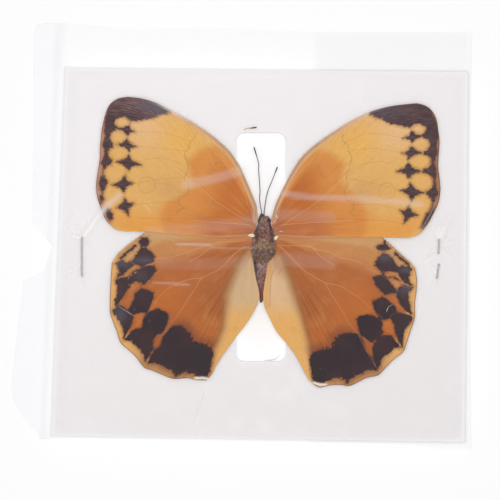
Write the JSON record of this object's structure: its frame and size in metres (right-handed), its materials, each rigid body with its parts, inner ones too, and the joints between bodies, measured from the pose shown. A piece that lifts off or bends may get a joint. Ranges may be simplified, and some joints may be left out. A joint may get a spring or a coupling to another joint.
{
  "type": "spread butterfly on a film-covered foam board",
  "caption": "Spread dried butterfly laid flat on a slotted foam board, its body in the slot, under a clear film that staples hold near the side edges.",
  "frame": {"origin": "middle of the footprint, on the surface that the back lies on", "axes": "+X to the right as the specimen is seen, +Y towards its head, +Z out of the board's face"},
  "size_m": [0.1497, 0.1397, 0.0082],
  "materials": {
    "white_foam": "matte",
    "clear_film": "gloss",
    "steel_wire": "satin",
    "body_scales": "matte",
    "forewing_scales": "matte",
    "hindwing_scales": "matte",
    "horn": "satin"
  },
  "bodies": {
    "root": {"backing_board": "white_foam", "film_wrap": "clear_film", "staple_left": "steel_wire", "staple_right": "steel_wire", "butterfly_body": "body_scales", "forewing_left": "forewing_scales", "forewing_right": "forewing_scales", "hindwing_left": "hindwing_scales", "hindwing_right": "hindwing_scales", "antenna_left": "horn", "antenna_right": "horn", "broken_tip": "horn", "leg_mid_left": "horn", "leg_mid_right": "horn", "leg_hind_left": "horn", "leg_hind_right": "horn"}
  },
  "joints": []
}
